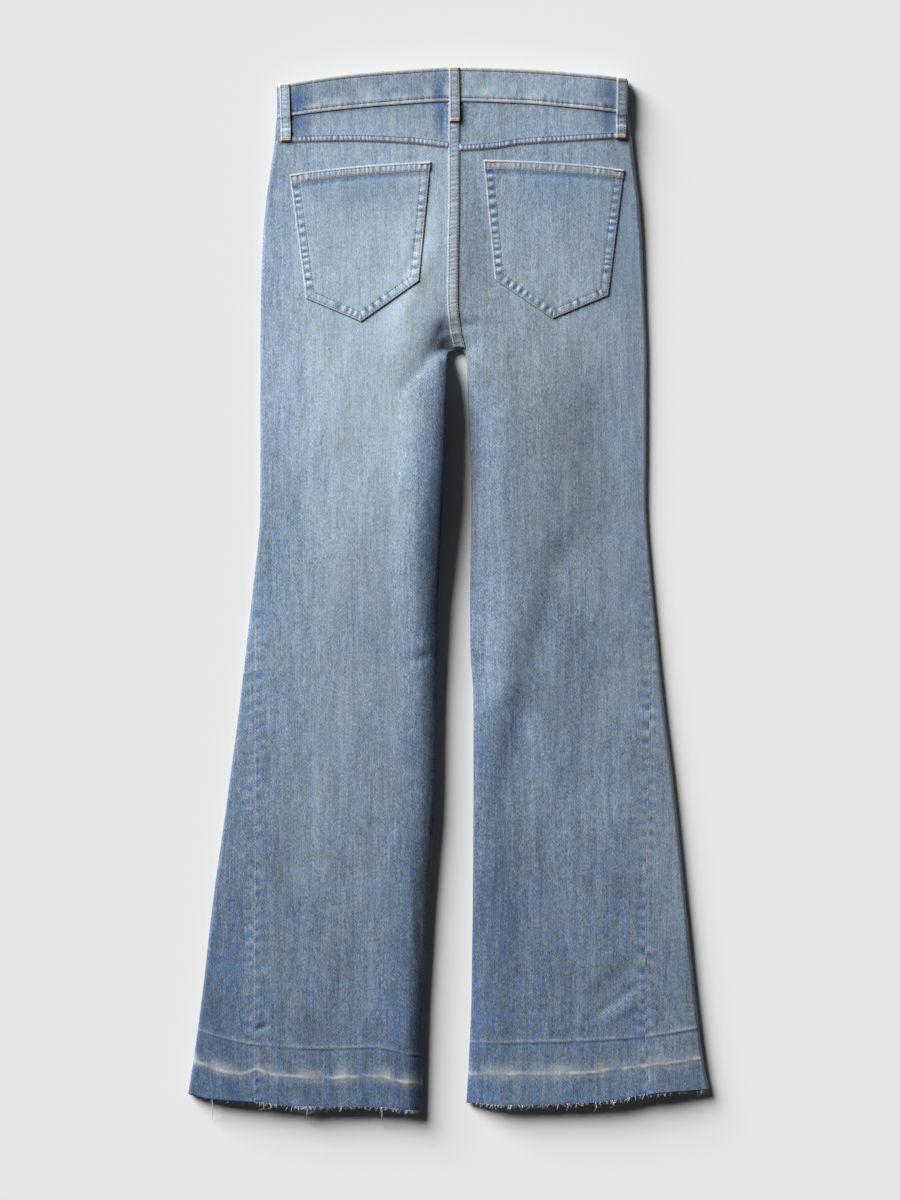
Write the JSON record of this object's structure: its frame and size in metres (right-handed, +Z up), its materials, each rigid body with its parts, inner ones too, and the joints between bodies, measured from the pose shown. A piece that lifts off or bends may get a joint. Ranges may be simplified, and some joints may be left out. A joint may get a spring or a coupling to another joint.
{
  "type": "flared jeans",
  "caption": "Flared denim jeans laid flat on the front with the back up: yoke, back pockets, belt loops and raw frayed hems.",
  "frame": {"origin": "on the ground, under the middle of the garment's box", "axes": "+Z up, +Y towards the waist, +X towards the wearer's right, with the back of the garment up"},
  "size_m": [0.554, 1.128, 0.021],
  "materials": {
    "denim": "washed light blue denim, matt",
    "waistband": "washed light blue denim, worn paler",
    "seam": "denim seam laps, worn pale",
    "yarn": "loose cotton yarn, matt",
    "metal": "dull antique brass"
  },
  "bodies": {
    "root": {"back_left": "denim", "back_right": "denim", "front_left": "denim", "front_right": "denim", "yoke_left": "denim", "yoke_right": "denim", "pocket_left": "denim", "pocket_right": "denim", "waistband_back": "waistband", "waistband_front_left": "waistband", "waistband_front_right": "waistband", "loop_left": "waistband", "loop_centre": "waistband", "loop_right": "waistband", "seat_lap": "seam", "yoke_lap_left": "seam", "yoke_lap_right": "seam", "fray_left": "yarn", "fray_right": "yarn", "button": "metal"}
  },
  "joints": []
}
